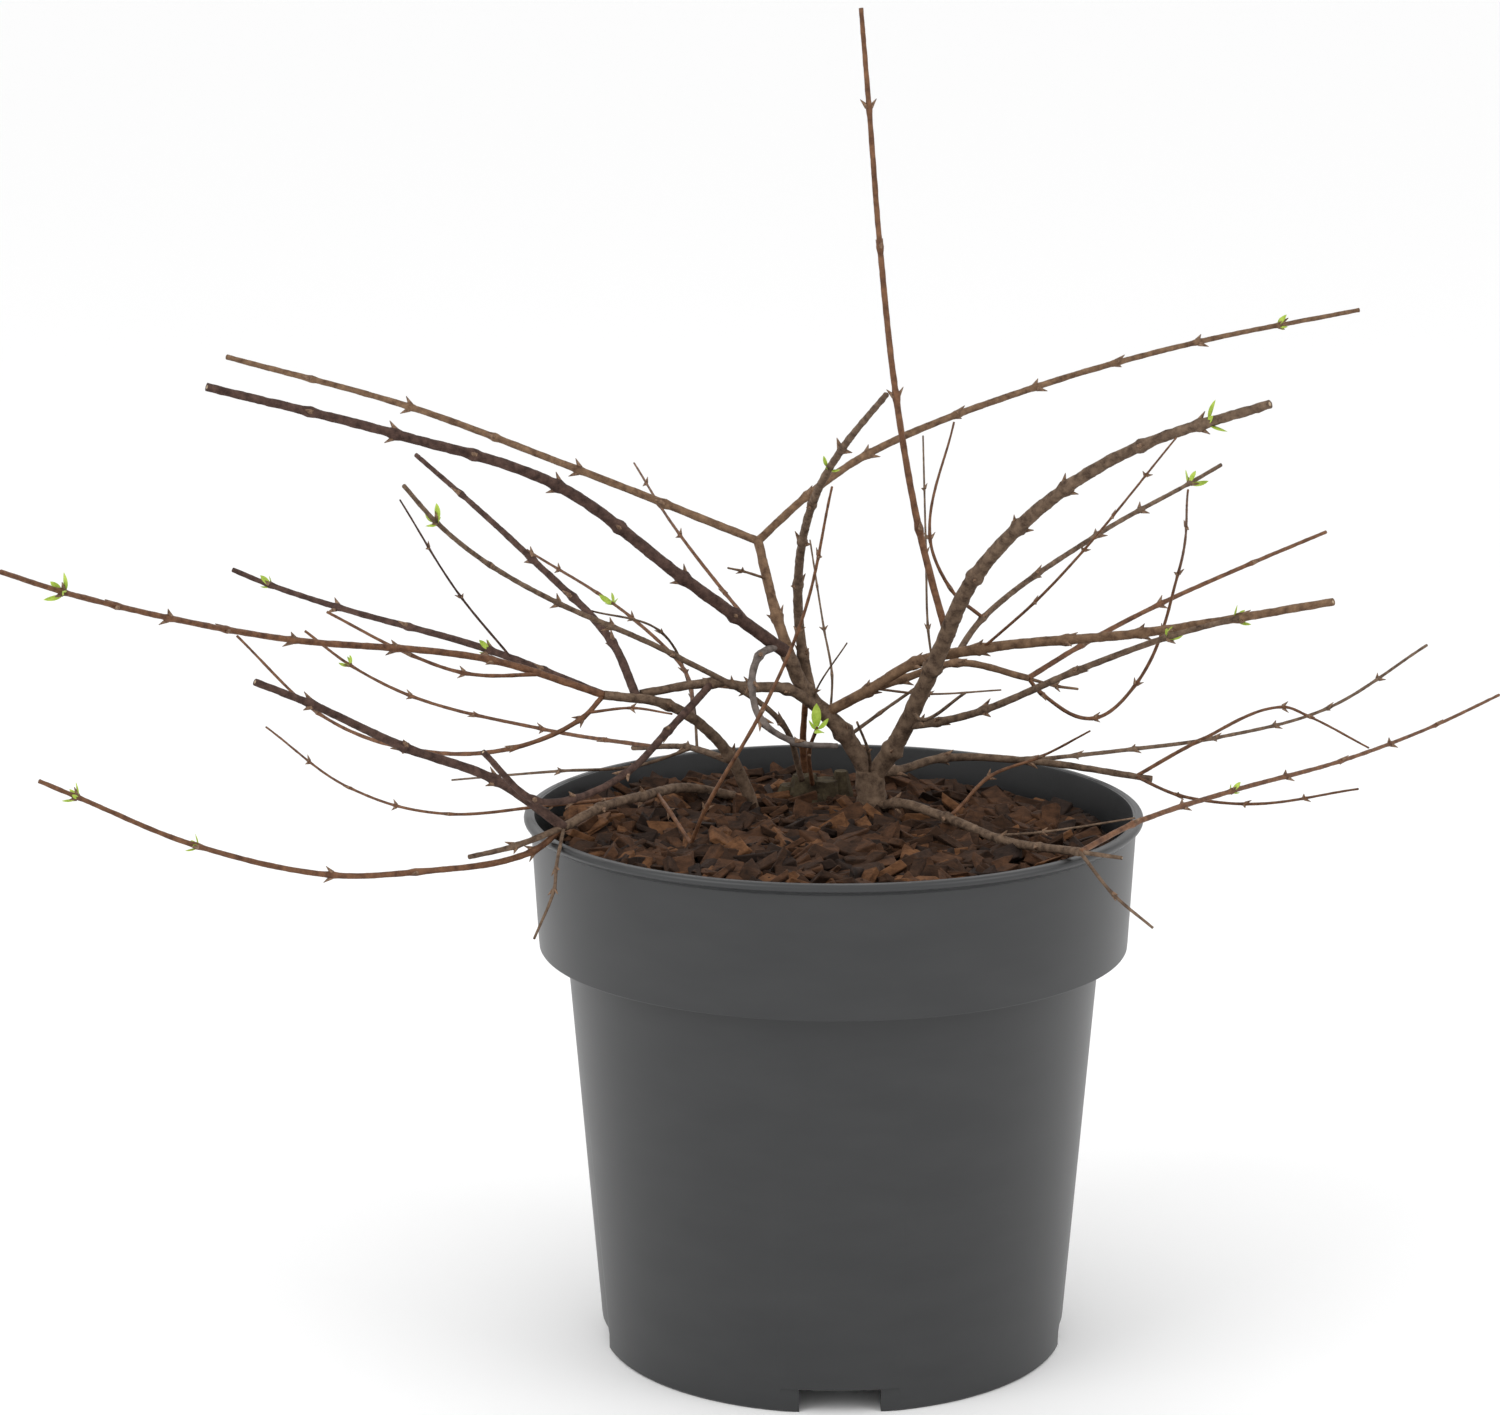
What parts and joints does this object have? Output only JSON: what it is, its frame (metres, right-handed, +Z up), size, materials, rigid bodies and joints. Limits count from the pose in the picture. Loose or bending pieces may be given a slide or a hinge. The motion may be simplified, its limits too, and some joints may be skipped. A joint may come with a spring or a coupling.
{
  "type": "potted beautybush",
  "caption": "Bare, many-stemmed beautybush with opening buds, standing in bark mulch in a round nursery container with a stepped collar.",
  "frame": {"origin": "centre of the container's underside, on its axis", "axes": "+Z up, -Y towards the side that the picture shows, +X to its right"},
  "size_m": [0.5396, 0.3612, 0.497],
  "materials": {
    "container": "satin charcoal plastic",
    "growing_mix": "dark crumbly mix",
    "bark_chips": "rough reddish-brown chips",
    "old_bark": "rough streaked bark",
    "twigs": "smooth red-brown young bark"
  },
  "bodies": {
    "root": {"pot": "container", "growing_mix": "growing_mix", "bark_mulch": "bark_chips", "old_stump": "old_bark", "root_crown": "old_bark", "left_stem": "old_bark", "stump_shoot": "old_bark", "low_stem": "old_bark", "left_trunk": "old_bark", "right_trunk": "old_bark", "cross_limb": "old_bark", "middle_right_limb": "old_bark", "upright_limb": "old_bark", "fork_limb": "old_bark", "thick_left_bough": "old_bark", "upper_left_bough": "old_bark", "upper_right_bough": "old_bark", "dead_grey_twig": "old_bark", "third_left_bough": "old_bark", "far_left_whip": "old_bark", "dark_left_bough": "old_bark", "back_left_stub": "old_bark", "fourth_left_bough": "old_bark", "bent_stem": "old_bark", "low_left_limb": "old_bark", "low_left_whip": "old_bark", "pale_limb": "old_bark", "inner_right_bough": "old_bark", "pale_upper_twig": "old_bark", "tall_shoot": "old_bark", "lower_right_limb": "old_bark", "front_right_limb": "old_bark", "orange_right_whip": "old_bark", "back_right_limb": "old_bark", "leafy_shoot": "twigs", "red_inner_twig": "twigs", "looping_left_whip": "twigs", "fifth_left_bough": "twigs", "orange_whip": "twigs", "thin_low_whip": "twigs", "vee_foot": "twigs", "curled_twig": "twigs", "thin_right_twig": "twigs", "crossed_upright_twig": "twigs", "crossing_twig": "twigs", "back_right_bough": "twigs", "bowed_right_twig": "twigs", "low_right_twig": "twigs"}
  },
  "joints": []
}
